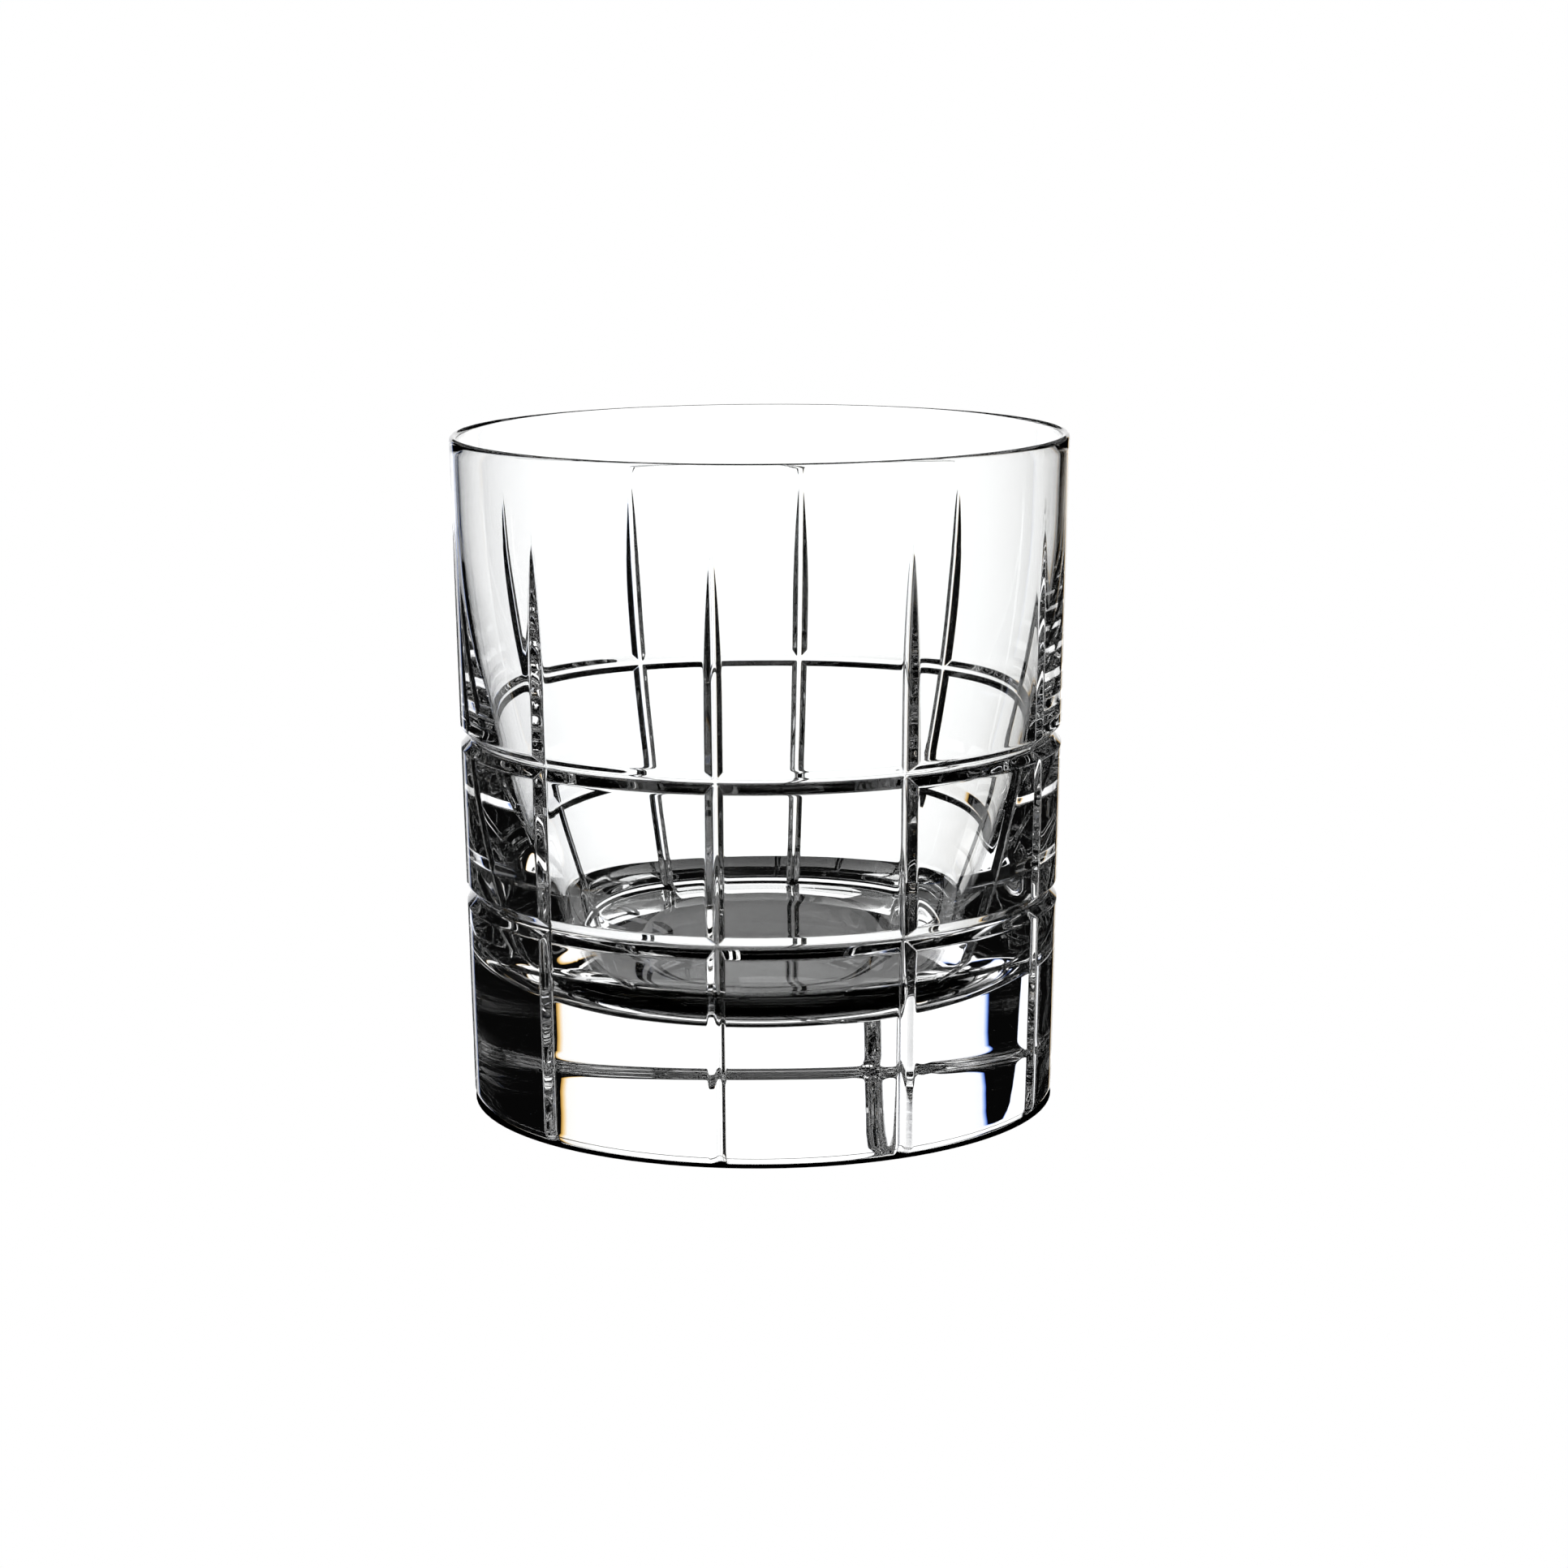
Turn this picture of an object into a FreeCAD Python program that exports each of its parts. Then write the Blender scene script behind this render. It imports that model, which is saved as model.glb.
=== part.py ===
import FreeCAD, Part
import math
import os

# Whiskey tumbler: one piece of cut crystal glass, standing on the plane z = 0 with its axis on +Z.
# All lengths are in mm and all angles in degrees.

HEIGHT = 90.0             # overall height, foot to lip
RIM_RADIUS = 41.27        # outside of the wall, where its line reaches the lip's height
FOOT_RADIUS = 39.42       # outside of the wall, where its line reaches the table
FOOT_ROUND = 2.0          # radius ground on the foot's edge
LIP_WALL = 1.15           # wall at the lip, rounded over its whole width
WALL_GAIN = 0.008         # extra wall for each mm below the lip
SWELL_TOP = 78.0          # below this height the inside of the wall curves in
SWELL_RADIUS = 190.0      # radius of that wide curve
FLOOR_CORNER = 10.0       # radius where the wall turns in to the floor
DISH_RADIUS = 26.0        # radius of the floor's gentle rise towards that corner
FLAT_RADIUS = 14.0        # the flat middle of the floor
FLOOR_HEIGHT = 14.8       # thickness of the solid foot at the middle

CUT_COUNT = 10            # upright cuts
CUT_FIRST = -8.5          # first upright cut, measured from -Y towards +X
UPRIGHT_DEPTH = 1.15      # depth of the upright cuts, square to the wall
UPRIGHT_HALF_ANGLE = 38.0     # half of the V between an upright cut's two faces
RING_DEPTH = 1.2          # depth of the rings, square to the wall
RING_HALF_ANGLE = 45.0    # half of the V between a ring's two faces
CUT_BOTTOM_ROUND = 0.56   # radius ground into the bottom of the V
CUT_FULL_TOP = 60.0       # height at which the upright cuts start to run out
CUT_TIP = 78.8            # height of the upright cuts' pointed tips
RING_HEIGHTS = (50.0, 28.7)   # the two rings, at the bottom line of their V
CUT_STAND_OFF = 0.8       # how far the cutters stand out of the wall
CUT_OVERRUN = 6.0         # how far the cutters run on past the foot
WHEEL_OVERTURN = 1.5      # turns the wheel on past the tip, clear of the wall

SEAM_TURN = 9.5           # turns the round body, so its seam lies between two upright cuts


def lean():
    """Angle of the outside wall off the vertical, in radians."""
    return math.atan2(RIM_RADIUS - FOOT_RADIUS, HEIGHT)


def outer_radius(z):
    """Outside radius of the uncut wall at height z."""
    return FOOT_RADIUS + (RIM_RADIUS - FOOT_RADIUS) * z / HEIGHT


def inner_radius(z):
    """Radius of the cup at height z, on the straight upper part of its wall."""
    return outer_radius(z) - LIP_WALL - WALL_GAIN * (HEIGHT - z)


def point(r, z):
    """A point of the half section, at radius r and height z."""
    return FreeCAD.Vector(r, 0.0, z)


def line(a, b):
    """Straight edge of the half section from (r, z) to (r, z)."""
    return Part.makeLine(point(*a), point(*b))


def arc(a, middle, b):
    """Round edge of the half section through three (r, z) points."""
    return Part.Arc(point(*a), point(*middle), point(*b)).toShape()


def on_circle(centre, radius, angle):
    """The (r, z) point at an angle in radians round a circle."""
    return (centre[0] + radius * math.cos(angle), centre[1] + radius * math.sin(angle))


def foot_centre():
    """Centre of the foot's edge radius, which touches the table and the leaning wall."""
    return (outer_radius(FOOT_ROUND) - FOOT_ROUND / math.cos(lean()), FOOT_ROUND)


def lip_centre():
    """Centre and radius of the lip: its bead touches both sides of the wall and the lip's height."""
    inner_slope = math.atan((RIM_RADIUS - FOOT_RADIUS) / HEIGHT + WALL_GAIN)
    radius = LIP_WALL / 2
    for _ in range(20):
        z = HEIGHT - radius
        wall = outer_radius(z) - inner_radius(z)
        radius = wall / (1 / math.cos(lean()) + 1 / math.cos(inner_slope))
    z = HEIGHT - radius
    return (outer_radius(z) - radius / math.cos(lean()), z), radius, inner_slope


def swell_centre(into):
    """Centre of the wide curve, which carries on from the straight inside wall at SWELL_TOP."""
    return (inner_radius(SWELL_TOP) - SWELL_RADIUS * math.cos(into),
            SWELL_TOP - SWELL_RADIUS * math.sin(into))


def corner_centre(swell, dish):
    """Centre of the corner radius, which touches the wide curve and the floor's rise from the inside."""
    reach = DISH_RADIUS - FLOOR_CORNER
    steep = math.pi / 2
    gentle = 0.0
    for _ in range(40):
        rise = (steep + gentle) / 2
        centre = (dish[0] + reach * math.sin(rise), dish[1] - reach * math.cos(rise))
        if math.dist(centre, swell) > SWELL_RADIUS - FLOOR_CORNER:
            steep = rise
        else:
            gentle = rise
    return centre


def angle_from(centre, target):
    """Direction from one (r, z) point to another, in radians."""
    return math.atan2(target[1] - centre[1], target[0] - centre[0])


def make_blank():
    """The uncut glass: the half section of wall, foot and cup turned about +Z."""
    foot = foot_centre()
    lip, lip_radius, inner_slope = lip_centre()
    out = -lean()
    into = -inner_slope
    swell = swell_centre(into)
    dish = (FLAT_RADIUS, FLOOR_HEIGHT + DISH_RADIUS)
    corner = corner_centre(swell, dish)
    meet = angle_from(swell, corner)
    rise = angle_from(dish, corner)
    foot_low = (foot[0], 0.0)
    foot_mid = on_circle(foot, FOOT_ROUND, (out - math.pi / 2) / 2)
    foot_high = on_circle(foot, FOOT_ROUND, out)
    lip_out = on_circle(lip, lip_radius, out)
    lip_top = (lip[0], HEIGHT)
    lip_in = on_circle(lip, lip_radius, into + math.pi)
    swell_high = on_circle(swell, SWELL_RADIUS, into)
    swell_mid = on_circle(swell, SWELL_RADIUS, (into + meet) / 2)
    corner_high = on_circle(corner, FLOOR_CORNER, meet)
    corner_mid = on_circle(corner, FLOOR_CORNER, (meet + rise) / 2)
    corner_low = on_circle(corner, FLOOR_CORNER, rise)
    dish_mid = on_circle(dish, DISH_RADIUS, (rise - math.pi / 2) / 2)
    dish_low = (FLAT_RADIUS, FLOOR_HEIGHT)
    edges = [
        line((0.0, 0.0), foot_low),
        arc(foot_low, foot_mid, foot_high),
        line(foot_high, lip_out),
        arc(lip_out, lip_top, lip_in),
        line(lip_in, swell_high),
        arc(swell_high, swell_mid, corner_high),
        arc(corner_high, corner_mid, corner_low),
        arc(corner_low, dish_mid, dish_low),
        line(dish_low, (0.0, FLOOR_HEIGHT)),
        line((0.0, FLOOR_HEIGHT), (0.0, 0.0)),
    ]
    section = Part.Face(Part.Wire(edges))
    blank = section.revolve(FreeCAD.Vector(0, 0, 0), FreeCAD.Vector(0, 0, 1), 360)
    blank.rotate(FreeCAD.Vector(0, 0, 0), FreeCAD.Vector(0, 0, 1), SEAM_TURN)
    return blank


def wall_frame(z):
    """The wall point at height z, the unit vector up along the wall and the one out of it."""
    up = FreeCAD.Vector(math.sin(lean()), 0.0, math.cos(lean()))
    out = FreeCAD.Vector(math.cos(lean()), 0.0, -math.sin(lean()))
    return point(outer_radius(z), z), up, out


def cutter_section(bottom, out, side, half_angle):
    """Section of a cutter: a V with a round bottom at the point given, open towards out."""
    tilt = math.radians(90.0 - half_angle)
    start = CUT_BOTTOM_ROUND * math.sin(tilt)
    rise = CUT_BOTTOM_ROUND * (1.0 - math.cos(tilt))
    tall = RING_DEPTH + CUT_STAND_OFF
    wide = start + (tall - rise) * math.tan(math.radians(half_angle))
    left_low = bottom + out * rise - side * start
    right_low = bottom + out * rise + side * start
    left_high = bottom + out * tall - side * wide
    right_high = bottom + out * tall + side * wide
    edges = [
        Part.Arc(left_low, bottom, right_low).toShape(),
        Part.makeLine(right_low, right_high),
        Part.makeLine(right_high, left_high),
        Part.makeLine(left_high, left_low),
    ]
    return Part.Face(Part.Wire(edges))


def ring_cutter(z):
    """A ring cutter round the wall, with its bottom line at height z."""
    start, up, out = wall_frame(z)
    section = cutter_section(start - out * RING_DEPTH, out, up, RING_HALF_ANGLE)
    ring = section.revolve(FreeCAD.Vector(0, 0, 0), FreeCAD.Vector(0, 0, 1), 360)
    ring.rotate(FreeCAD.Vector(0, 0, 0), FreeCAD.Vector(0, 0, 1), SEAM_TURN)
    return ring


def upright_cutter():
    """The cutter of one upright cut, on the +X side: a straight V, then the wheel that runs it out."""
    start, up, out = wall_frame(CUT_FULL_TOP)
    side = FreeCAD.Vector(0, 1, 0)
    bottom = start - out * UPRIGHT_DEPTH
    section = cutter_section(bottom, out, side, UPRIGHT_HALF_ANGLE)
    straight = section.extrude(up * -(CUT_FULL_TOP + CUT_OVERRUN))
    run_out = (CUT_TIP - CUT_FULL_TOP) / math.cos(lean())
    wheel_radius = (run_out ** 2 + UPRIGHT_DEPTH ** 2) / (2 * UPRIGHT_DEPTH)
    hub = bottom + out * wheel_radius
    turn = math.degrees(math.asin(run_out / wheel_radius)) * WHEEL_OVERTURN
    wheel = section.revolve(hub, side, turn)
    return straight.fuse(wheel)


def upright_cutters():
    """All the upright cutters, spaced evenly round the wall."""
    cutter = upright_cutter()
    cutters = []
    for index in range(CUT_COUNT):
        copy = cutter.copy()
        turn = -90.0 + CUT_FIRST + index * 360.0 / CUT_COUNT
        copy.rotate(FreeCAD.Vector(0, 0, 0), FreeCAD.Vector(0, 0, 1), turn)
        cutters.append(copy)
    return cutters


def make_tumbler():
    """The finished tumbler: the blank with its rings and upright cuts ground away."""
    rings = [ring_cutter(z) for z in RING_HEIGHTS]
    return make_blank().cut(rings + upright_cutters())


os.makedirs("parts", exist_ok=True)
tumbler = make_tumbler().Solids[0]
tumbler.exportStep("parts/tumbler_body.step")
print("valid", tumbler.isValid(), "volume in mm3", round(tumbler.Volume, 1))
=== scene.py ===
import bpy
import bmesh
import math
from mathutils import Matrix, Vector


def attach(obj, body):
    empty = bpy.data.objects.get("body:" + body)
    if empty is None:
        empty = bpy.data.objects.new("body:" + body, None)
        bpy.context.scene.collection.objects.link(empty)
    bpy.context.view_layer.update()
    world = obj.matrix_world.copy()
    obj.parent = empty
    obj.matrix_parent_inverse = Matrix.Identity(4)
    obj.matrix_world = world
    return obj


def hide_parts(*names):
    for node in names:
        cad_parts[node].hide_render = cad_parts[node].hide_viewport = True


# Whiskey tumbler: one piece of cut crystal glass on a pale floor.
# Lengths are in millimetres and angles in degrees, turned into metres where a mesh or an object is made.

MM = 0.001

# the blank
HEIGHT = 90.0             # overall height, foot to lip
RIM_RADIUS = 41.27        # outside of the wall, where its line reaches the lip's height
FOOT_RADIUS = 39.42       # outside of the wall, where its line reaches the table
FOOT_ROUND = 2.0          # radius ground on the foot's edge
LIP_WALL = 1.15           # wall at the lip, rounded over its whole width
WALL_GAIN = 0.008         # extra wall for each mm below the lip
SWELL_TOP = 78.0          # below this height the inside of the wall curves in
SWELL_RADIUS = 190.0      # radius of that wide curve
FLOOR_CORNER = 10.0       # radius where the wall turns in to the floor
DISH_RADIUS = 26.0        # radius of the floor's gentle rise towards that corner
FLAT_RADIUS = 14.0        # the flat middle of the floor
FLOOR_HEIGHT = 14.8       # thickness of the solid foot at the middle

# the cuts
CUT_COUNT = 10            # upright cuts
CUT_FIRST = -8.5          # first upright cut, measured from -Y towards +X
UPRIGHT_DEPTH = 1.15      # depth of the upright cuts, square to the wall
UPRIGHT_HALF_ANGLE = 38.0     # half of the V between an upright cut's two faces
RING_DEPTH = 1.2          # depth of the rings, square to the wall
RING_HALF_ANGLE = 45.0    # half of the V between a ring's two faces
CUT_BOTTOM_ROUND = 0.56   # radius ground into the bottom of the V
CUT_FULL_TOP = 60.0       # height at which the upright cuts start to run out
CUT_TIP = 78.8            # height of the upright cuts' pointed tips
RING_HEIGHTS = (50.0, 28.7)   # the two rings, at the bottom line of their V
EDGE_SOFTNESS = 0.09      # how far polishing has rounded a cut's edges off
SOFT_REACH = 0.6          # edges are rounded only where the cutter passes this close to the wall
TIP_FADE = 6.0            # the rounding fades away over this height, below the level SPENT over the tips
SPENT = 1.0               # height over the tips from which no upright cut is left

# the mesh: places across a cut, as shares of its half width
ACROSS = (0.0, 0.09, 0.18, 0.27, 0.36, 0.46, 0.58, 0.7, 0.8, 0.87, 0.93, 0.98, 1.03, 1.09, 1.17, 1.3)
FLAT_COLUMNS = 14         # columns of the plain wall between two cuts
COLUMNS = 2 * len(ACROSS) - 1 + FLAT_COLUMNS      # in one repeat of the cuts
EASING = 0.12             # how far those columns crowd towards the cuts on both sides
NARROWEST = 0.1           # half width left to the columns of a cut above its tip
UNDERSIDE = (0.0, 8.0, 16.0, 24.0, 31.0, 36.0)    # radii of the rows of the flat underside
FOOT_ROWS = len(UNDERSIDE) - 1    # the last of those rows: no cut reaches it
FLOOR_SHARES = (0.9, 0.7, 0.5, 0.25, 0.0)         # rows of the cup's flat middle
JOIN = 1e-7               # points closer than this, in metres, are one point

# the camera
CAMERA_AT = (0.0, -512.84, 139.80)
LENS = 88.63              # focal length
PITCH_DOWN = 10.765       # how far the camera looks down
YAW = 0.339               # and turns to the right
ROLL = 0.287

# the backdrop: a lit panel opposite the camera
BACKDROP_AWAY = 230.0     # from the glass's axis
BACKDROP_LEFT = 147.0     # how far the panel reaches from the middle of the glass
BACKDROP_RIGHT = 120.0
BACKDROP_LOW = 288.0      # and how far down and up
BACKDROP_HIGH = 80.0
BACKDROP_LIGHT = 1.35
BACKDROP_COLOURS = (      # from the panel's left end to its right: share of the width, colour
    (0.0, (0.0, 0.02, 0.25)),
    (0.012, (0.25, 0.4, 0.8)),
    (0.03, (0.82, 0.83, 0.86)),
    (0.2, (0.95, 0.95, 0.96)),
    (0.5, (1.0, 1.0, 1.0)),
    (0.8, (0.95, 0.95, 0.95)),
    (0.97, (0.83, 0.82, 0.8)),
    (0.988, (0.75, 0.5, 0.18)),
    (1.0, (0.3, 0.15, 0.02)),
)

# the band of light, high in front of the glass
OVERHEAD_AWAY = 420.0     # from the middle of the glass
OVERHEAD_LOW = 42.0       # angles above the horizontal that the band covers
OVERHEAD_TOP = 58.5
OVERHEAD_REACH = 70.0     # the band stops this far in front of the glass's middle
OVERHEAD_LIGHT = 1.3

# the room
FLOOR_SIDE = 40000.0
FLOOR_DROP = 0.1          # the floor lies this far under the glass, clear of its face
SHADE_RADIUS = 39.3       # the dark patch under the foot
SHADE_DROP = 0.05         # that patch lies this far under the foot
WALL_AWAY = 5000.0        # the white wall far behind
WALL_TALL = 8000.0
ROUND_SIDES = 64          # flat sides of a round lamp or wall
DARKNESS = 0.002          # light left in the room round the set

WHITE = (1.0, 1.0, 1.0)


def lean():
    """Angle of the outside wall off the vertical, in radians."""
    return math.atan2(RIM_RADIUS - FOOT_RADIUS, HEIGHT)


def outer_radius(z):
    """Outside radius of the uncut wall at height z."""
    return FOOT_RADIUS + (RIM_RADIUS - FOOT_RADIUS) * z / HEIGHT


def inner_radius(z):
    """Radius of the cup at height z, on the straight upper part of its wall."""
    return outer_radius(z) - LIP_WALL - WALL_GAIN * (HEIGHT - z)


# ---- the half section -------------------------------------------------------

def bend(centre, radius, start, end, steps):
    """Points (r, z) round part of a circle, with both ends."""
    points = []
    for i in range(steps + 1):
        a = start + (end - start) * i / steps
        points.append((centre[0] + radius * math.cos(a), centre[1] + radius * math.sin(a)))
    return points


def ring_rows(z):
    """Heights of the rows that cross one ring cut, from low to high."""
    half = half_width(RING_DEPTH, RING_HALF_ANGLE)
    return [z - half * s for s in reversed(ACROSS)] + [z + half * s for s in ACROSS[1:]]


def spread(low, high, count):
    """Evenly spaced heights between two rows, without the two."""
    return [low + (high - low) * i / (count + 1) for i in range(1, count + 1)]


def wall_heights(low, high):
    """Heights of all rows up the outside wall."""
    upper, lower = (ring_rows(z) for z in RING_HEIGHTS)
    rows = [low] + spread(low, lower[0], 12) + lower + spread(lower[-1], upper[0], 8) + upper
    return rows + spread(upper[-1], CUT_TIP, 26) + [CUT_TIP] + spread(CUT_TIP, high, 6) + [high]


def lip_bead(out, into):
    """Centre and radius of the lip, which touches both sides of the wall and the lip's height."""
    radius = LIP_WALL / 2
    for _ in range(20):
        z = HEIGHT - radius
        radius = (outer_radius(z) - inner_radius(z)) / (1 / math.cos(out) + 1 / math.cos(into))
    z = HEIGHT - radius
    return (outer_radius(z) - radius / math.cos(out), z), radius


def cup_curve(into):
    """The inside below the straight wall: a wide curve, a tighter corner, then the dished floor."""
    wide = (inner_radius(SWELL_TOP) - SWELL_RADIUS * math.cos(into),
            SWELL_TOP - SWELL_RADIUS * math.sin(into))
    dish = (FLAT_RADIUS, FLOOR_HEIGHT + DISH_RADIUS)
    reach = DISH_RADIUS - FLOOR_CORNER
    steep, gentle = math.pi / 2, 0.0
    for _ in range(40):
        rise = (steep + gentle) / 2
        tight = (dish[0] + reach * math.sin(rise), dish[1] - reach * math.cos(rise))
        if math.dist(tight, wide) > SWELL_RADIUS - FLOOR_CORNER:
            steep = rise
        else:
            gentle = rise
    turn = math.atan2(tight[1] - wide[1], tight[0] - wide[0])
    points = bend(wide, SWELL_RADIUS, into, turn, 26)
    points += bend(tight, FLOOR_CORNER, turn, rise - math.pi / 2, 14)[1:]
    points += bend(dish, DISH_RADIUS, rise - math.pi / 2, -math.pi / 2, 12)[1:]
    return points


def half_section():
    """The closed outline of the glass, from the middle of the underside to the middle of the cup's floor."""
    out = -lean()
    into = -math.atan((RIM_RADIUS - FOOT_RADIUS) / HEIGHT + WALL_GAIN)
    foot = (outer_radius(FOOT_ROUND) - FOOT_ROUND / math.cos(out), FOOT_ROUND)
    lip, lip_radius = lip_bead(out, into)
    points = [(r, 0.0) for r in UNDERSIDE]
    points += bend(foot, FOOT_ROUND, -math.pi / 2, out, 12)
    bead = bend(lip, lip_radius, out, math.pi + into, 14)
    points += [(outer_radius(z), z) for z in wall_heights(points[-1][1], bead[0][1])[1:-1]]
    points += bead
    points += [(inner_radius(z), z) for z in reversed(spread(SWELL_TOP, bead[-1][1], 8))]
    points += cup_curve(into)
    rim = points[-1][0]
    points += [(rim * s, FLOOR_HEIGHT) for s in FLOOR_SHARES]
    return points


# ---- the cuts ---------------------------------------------------------------

def upright_depth(z):
    """Depth of an upright cut's bottom line at height z: full at first, then up and out round the wheel."""
    if z <= CUT_FULL_TOP:
        return UPRIGHT_DEPTH
    length = CUT_TIP - CUT_FULL_TOP
    wheel = (length ** 2 + UPRIGHT_DEPTH ** 2) / (2 * UPRIGHT_DEPTH)
    return UPRIGHT_DEPTH - wheel + math.sqrt(max(wheel ** 2 - (z - CUT_FULL_TOP) ** 2, 0.0))


def flank_start(half_angle):
    """Where a V's round bottom meets its straight side: distance from the middle, and height."""
    tilt = math.radians(90 - half_angle)
    return CUT_BOTTOM_ROUND * math.sin(tilt), CUT_BOTTOM_ROUND * (1 - math.cos(tilt))


def cutter_height(aside, half_angle):
    """Height of the cutter's edge at a distance aside of its lowest line."""
    start, rise = flank_start(half_angle)
    if abs(aside) < start:
        return CUT_BOTTOM_ROUND - math.sqrt(CUT_BOTTOM_ROUND ** 2 - aside ** 2)
    return rise + (abs(aside) - start) / math.tan(math.radians(half_angle))


def half_width(depth, half_angle):
    """Half width at the wall of a cut of this depth."""
    start, rise = flank_start(half_angle)
    if depth < rise:
        return math.sqrt(max(2 * CUT_BOTTOM_ROUND * depth - depth ** 2, 0.0))
    return start + (depth - rise) * math.tan(math.radians(half_angle))


def soft_max(a, b, softness):
    """The larger of two depths, with the edge between them rounded."""
    return (a + b + math.sqrt((a - b) ** 2 + softness ** 2)) / 2


def cut_depth(z, aside):
    """Depth ground away at height z, at a distance aside of the nearest upright cut."""
    ring = max(RING_DEPTH - cutter_height(z - height, RING_HALF_ANGLE) for height in RING_HEIGHTS)
    left = CUT_TIP + SPENT - z
    upright = upright_depth(z) - cutter_height(aside, UPRIGHT_HALF_ANGLE) if left > 0.0 else -1.0
    if min(ring, upright) > -SOFT_REACH:
        deepest = soft_max(ring, upright, EDGE_SOFTNESS)
    else:
        deepest = max(ring, upright)
    if deepest <= -SOFT_REACH:
        return 0.0
    return soft_max(deepest, 0.0, EDGE_SOFTNESS * min(1.0, max(left, 0.0) / TIP_FADE))


def column_places(z, radius):
    """Where the columns of one repeat stand at height z, as distances round the wall from its cut."""
    half = max(half_width(upright_depth(min(z, CUT_TIP)), UPRIGHT_HALF_ANGLE), NARROWEST)
    pitch = 2 * math.pi * radius / CUT_COUNT
    places = [-half * s for s in reversed(ACROSS[1:])] + [half * s for s in ACROSS]
    start, end = places[-1], pitch + places[0]
    for i in range(1, FLAT_COLUMNS + 1):
        share = i / (FLAT_COLUMNS + 1)
        eased = share - math.sin(2 * math.pi * share) * EASING
        places.append(start + (end - start) * eased)
    return places + [end]


# ---- the glass --------------------------------------------------------------

def mesh_object(name, bm, material):
    """A new object made from bm, with one material."""
    mesh = bpy.data.meshes.new(name)
    bm.to_mesh(mesh)
    bm.free()
    made = bpy.data.objects.new(name, mesh)
    bpy.context.collection.objects.link(made)
    mesh.materials.append(material)
    return made


def spin_repeat(bm, section):
    """Spins the half section through one repeat of the cuts. Every point keeps its row and column."""
    row_of = bm.verts.layers.int.new("row")
    verts = [bm.verts.new((r * MM, 0.0, z * MM)) for r, z in section]
    for row, vert in enumerate(verts):
        vert[row_of] = row
    edges = [bm.edges.new(pair) for pair in zip(verts, verts[1:])]
    bmesh.ops.spin(bm, geom=verts + edges, cent=(0, 0, 0), axis=(0, 0, 1), angle=math.tau / CUT_COUNT,
                   steps=COLUMNS, use_duplicate=False)
    bmesh.ops.remove_doubles(bm, verts=bm.verts, dist=JOIN)
    return row_of


def place_points(bm, section, row_of):
    """Moves every point to its column round the glass, and in to the bottom of any cut it lies in."""
    lip_row = max(range(len(section)), key=lambda row: section[row][1])
    pitch = math.tau / CUT_COUNT
    places = [column_places(z if row <= lip_row else HEIGHT, outer_radius(z))
              for row, (r, z) in enumerate(section)]
    for vert in bm.verts:
        row = vert[row_of]
        r, z = section[row]
        if r == 0.0:
            continue
        outside = outer_radius(z)
        aside = places[row][round(math.atan2(vert.co.y, vert.co.x) / pitch * COLUMNS)]
        if FOOT_ROWS < row <= lip_row:
            depth = cut_depth(z, min(abs(aside), abs(pitch * outside - aside)))
            r -= depth * math.cos(lean())
            z += depth * math.sin(lean())
        angle = math.radians(CUT_FIRST - 90) + aside / outside
        vert.co = Vector((r * math.cos(angle), r * math.sin(angle), z)) * MM


def repeat_round(bm):
    """Copies the one repeat all the way round and joins the copies."""
    one = bm.verts[:] + bm.edges[:] + bm.faces[:]
    for index in range(1, CUT_COUNT):
        copied = bmesh.ops.duplicate(bm, geom=one)["geom"]
        turned = [item for item in copied if isinstance(item, bmesh.types.BMVert)]
        turn = Matrix.Rotation(index * math.tau / CUT_COUNT, 3, "Z")
        bmesh.ops.rotate(bm, cent=(0, 0, 0), matrix=turn, verts=turned)
    bmesh.ops.remove_doubles(bm, verts=bm.verts, dist=JOIN)


def sort_by(items, key):
    """Puts the points, edges or faces of a mesh in the order of a key."""
    items.index_update()
    place = {item.index: rank for rank, item in enumerate(sorted(items, key=key))}
    items.sort(key=lambda item: place[item.index])
    items.index_update()


def put_in_order(bm):
    """Gives points, edges and faces one fixed order, so that every run writes the same mesh."""
    sort_by(bm.verts, lambda vert: tuple(vert.co))
    sort_by(bm.edges, lambda edge: sorted(vert.index for vert in edge.verts))
    sort_by(bm.faces, lambda face: sorted(vert.index for vert in face.verts))


def noise(tree, scale, detail):
    """A cloudy pattern fixed to the glass, with values from 0 to 1."""
    place = tree.nodes.new("ShaderNodeTexCoord")
    clouds = tree.nodes.new("ShaderNodeTexNoise")
    clouds.inputs["Scale"].default_value = scale
    clouds.inputs["Detail"].default_value = detail
    tree.links.new(place.outputs["Object"], clouds.inputs["Vector"])
    return clouds.outputs["Fac"]


def crystal():
    """Clear cut crystal: smooth glass with the slight waviness and the faint cast that polishing leaves."""
    material = bpy.data.materials.new("cut_crystal")
    material.use_nodes = True
    tree = material.node_tree
    shader = tree.nodes["Principled BSDF"]
    shader.inputs["Roughness"].default_value = 0.0
    shader.inputs["IOR"].default_value = 1.55
    shader.inputs["Transmission Weight"].default_value = 1.0
    waves = tree.nodes.new("ShaderNodeBump")
    waves.inputs["Strength"].default_value = 0.1
    waves.inputs["Distance"].default_value = 0.0002
    tree.links.new(noise(tree, 70.0, 1.0), waves.inputs["Height"])
    tree.links.new(waves.outputs["Normal"], shader.inputs["Normal"])
    cast = tree.nodes.new("ShaderNodeValToRGB")
    cast.color_ramp.elements[0].color = (0.975, 0.985, 0.985, 1.0)
    cast.color_ramp.elements[1].color = (1.0, 1.0, 0.998, 1.0)
    tree.links.new(noise(tree, 25.0, 2.0), cast.inputs["Fac"])
    tree.links.new(cast.outputs["Color"], shader.inputs["Base Color"])
    return material


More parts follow.
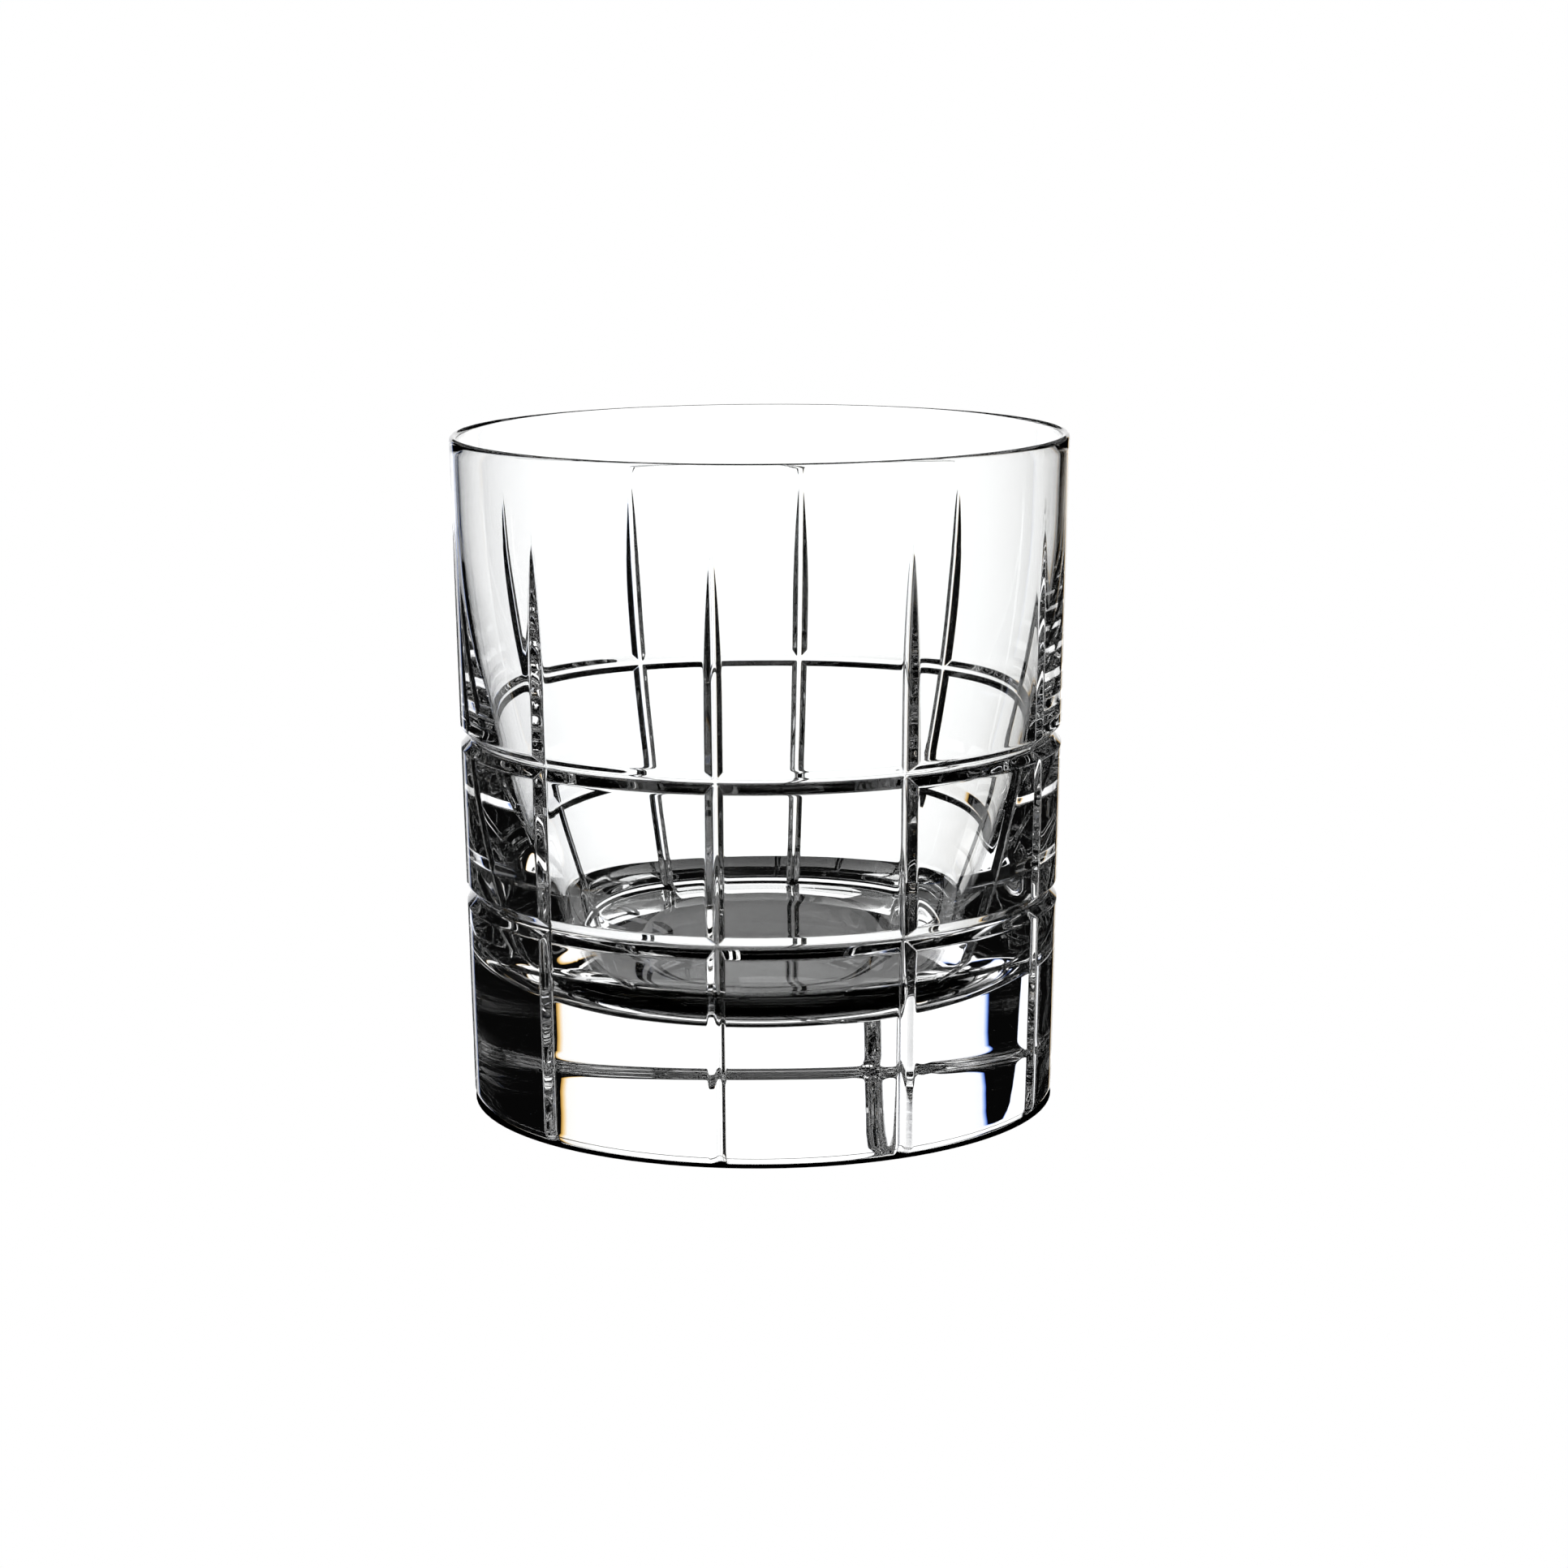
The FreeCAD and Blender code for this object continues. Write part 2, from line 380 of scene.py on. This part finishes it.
def make_glass():
    """The whole tumbler as one closed mesh, with its cuts."""
    section = half_section()
    bm = bmesh.new()
    place_points(bm, section, spin_repeat(bm, section))
    repeat_round(bm)
    bmesh.ops.recalc_face_normals(bm, faces=bm.faces)
    put_in_order(bm)
    for face in bm.faces:
        face.smooth = True
    glass = mesh_object("tumbler", bm, crystal())
    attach(glass, "root")
    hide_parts("tumbler_body")
    return glass


# ---- the studio -------------------------------------------------------------

def glow(name, colour, strength):
    """A material that gives off light."""
    material = bpy.data.materials.new(name)
    material.use_nodes = True
    nodes = material.node_tree.nodes
    nodes.clear()
    light = nodes.new("ShaderNodeEmission")
    light.inputs["Color"].default_value = (*colour, 1.0)
    light.inputs["Strength"].default_value = strength
    out = nodes.new("ShaderNodeOutputMaterial")
    material.node_tree.links.new(light.outputs[0], out.inputs["Surface"])
    return material


def make_camera():
    """The camera, in front of the glass and a little above it."""
    data = bpy.data.cameras.new("camera")
    data.lens = LENS
    data.clip_start = 0.01
    data.clip_end = 20.0
    camera = bpy.data.objects.new("camera", data)
    bpy.context.collection.objects.link(camera)
    pitch, yaw, roll = (math.radians(a) for a in (PITCH_DOWN, YAW, ROLL))
    ahead = Vector((math.sin(yaw) * math.cos(pitch), math.cos(yaw) * math.cos(pitch), -math.sin(pitch)))
    level = Vector((math.cos(yaw), -math.sin(yaw), 0.0))
    above = level.cross(ahead)
    right = level * math.cos(roll) - above * math.sin(roll)
    up = level * math.sin(roll) + above * math.cos(roll)
    turned = Matrix((right, up, -ahead)).transposed().to_4x4()
    camera.matrix_world = Matrix.Translation(Vector(CAMERA_AT) * MM) @ turned
    bpy.context.scene.camera = camera
    return camera


def plane(name, width, height, material):
    """A flat sheet, facing +Z at its own centre."""
    bm = bmesh.new()
    bmesh.ops.create_grid(bm, x_segments=1, y_segments=1, size=0.5)
    bmesh.ops.scale(bm, vec=(width * MM, height * MM, 1.0), verts=bm.verts)
    sheet = mesh_object(name, bm, material)
    return sheet


def make_turntable(camera):
    """An empty at the middle of the glass, which keeps the backdrop opposite the camera."""
    turntable = bpy.data.objects.new("turntable", None)
    bpy.context.collection.objects.link(turntable)
    turntable.location = (0.0, 0.0, HEIGHT / 2 * MM)
    follow = turntable.constraints.new("TRACK_TO")
    follow.target = camera
    follow.track_axis = "TRACK_NEGATIVE_Y"
    follow.up_axis = "UP_Z"
    return turntable


def backdrop_light(width):
    """White light, a little weaker to both sides, blue at the panel's left end and warm at its right."""
    material = glow("backdrop_white", WHITE, BACKDROP_LIGHT)
    tree = material.node_tree
    place = tree.nodes.new("ShaderNodeTexCoord")
    apart = tree.nodes.new("ShaderNodeSeparateXYZ")
    share = tree.nodes.new("ShaderNodeMapRange")
    share.inputs["From Min"].default_value = -width / 2 * MM
    share.inputs["From Max"].default_value = width / 2 * MM
    tint = tree.nodes.new("ShaderNodeValToRGB")
    stops = tint.color_ramp.elements
    for position, _ in BACKDROP_COLOURS[1:-1]:
        stops.new(position)
    for stop, (_, colour) in zip(stops, BACKDROP_COLOURS):
        stop.color = (*colour, 1.0)
    tree.links.new(place.outputs["Object"], apart.inputs[0])
    tree.links.new(apart.outputs["X"], share.inputs["Value"])
    tree.links.new(share.outputs[0], tint.inputs["Fac"])
    tree.links.new(tint.outputs["Color"], tree.nodes["Emission"].inputs["Color"])
    return material


def make_backdrop(turntable):
    """A white lit panel close behind the glass, with darkness on all its sides."""
    width = BACKDROP_LEFT + BACKDROP_RIGHT
    height = BACKDROP_LOW + BACKDROP_HIGH
    panel = plane("backdrop", width, height, backdrop_light(width))
    aside = (BACKDROP_RIGHT - BACKDROP_LEFT) / 2
    above = (BACKDROP_HIGH - BACKDROP_LOW) / 2
    middle = Matrix.Translation(Vector((aside, BACKDROP_AWAY, above)) * MM)
    upright = Matrix.Rotation(math.radians(90), 4, "X")
    level = Matrix.Rotation(math.radians(PITCH_DOWN), 4, "X")
    panel.parent = turntable
    panel.matrix_local = level @ middle @ upright
    panel.visible_camera = False
    return panel


def make_floor():
    """The pale floor under the glass."""
    floor = plane("floor", FLOOR_SIDE, FLOOR_SIDE, glow("floor_white", WHITE, 1.0))
    floor.location.z = -FLOOR_DROP * MM
    floor.visible_transmission = False
    floor.visible_glossy = False
    return floor


def make_shade():
    """The dark patch of floor right under the glass, which no light reaches."""
    bm = bmesh.new()
    bmesh.ops.create_circle(bm, cap_ends=True, segments=96, radius=SHADE_RADIUS * MM)
    shade = mesh_object("foot_shade", bm, glow("foot_shade", WHITE, 0.0))
    shade.location.z = -SHADE_DROP * MM
    return shade


def make_overhead():
    """A curved band of soft light, high in front of the glass."""
    away = OVERHEAD_AWAY * MM
    low, top = (math.radians(a) for a in (OVERHEAD_LOW, OVERHEAD_TOP))
    bm = bmesh.new()
    bmesh.ops.create_cone(bm, cap_ends=False, segments=ROUND_SIDES, radius1=away * math.cos(low),
                          radius2=away * math.cos(top), depth=away * (math.sin(top) - math.sin(low)))
    behind = [vert for vert in bm.verts if vert.co.y > -OVERHEAD_REACH * MM]
    bmesh.ops.delete(bm, geom=behind, context="VERTS")
    lamp = mesh_object("overhead", bm, glow("overhead_white", WHITE, OVERHEAD_LIGHT))
    lamp.location.z = HEIGHT / 2 * MM + away * (math.sin(top) + math.sin(low)) / 2
    lamp.visible_camera = False
    return lamp


def make_far_wall():
    """The round white wall far behind, which only the camera sees."""
    bm = bmesh.new()
    bmesh.ops.create_cone(bm, cap_ends=False, segments=ROUND_SIDES, radius1=WALL_AWAY * MM,
                          radius2=WALL_AWAY * MM, depth=WALL_TALL * MM)
    wall = mesh_object("far_wall", bm, glow("far_wall_white", WHITE, 1.0))
    wall.visible_transmission = False
    wall.visible_glossy = False
    wall.visible_diffuse = False
    return wall


def make_world():
    """Near darkness round the set, so that the glass draws its own dark edges."""
    world = bpy.data.worlds.new("dark_room")
    world.use_nodes = True
    background = world.node_tree.nodes["Background"]
    background.inputs["Color"].default_value = (*WHITE, 1.0)
    background.inputs["Strength"].default_value = DARKNESS
    bpy.context.scene.world = world


def set_light_paths():
    """Enough bounces for light to find its way through the cut glass."""
    scene = bpy.context.scene
    scene.view_settings.view_transform = "Standard"
    scene.cycles.max_bounces = 40
    scene.cycles.transmission_bounces = 40
    scene.cycles.glossy_bounces = 24
    scene.cycles.transparent_max_bounces = 16


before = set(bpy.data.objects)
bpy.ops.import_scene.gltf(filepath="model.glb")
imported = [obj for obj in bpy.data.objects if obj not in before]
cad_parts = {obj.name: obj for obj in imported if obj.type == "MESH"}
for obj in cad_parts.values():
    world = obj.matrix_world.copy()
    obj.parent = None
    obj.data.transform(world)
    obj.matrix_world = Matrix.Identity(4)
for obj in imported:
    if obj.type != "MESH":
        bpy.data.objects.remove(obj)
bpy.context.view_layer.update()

make_glass()
camera = make_camera()
turntable = make_turntable(camera)
make_backdrop(turntable)
make_overhead()
make_far_wall()
make_floor()
make_shade()
make_world()
set_light_paths()
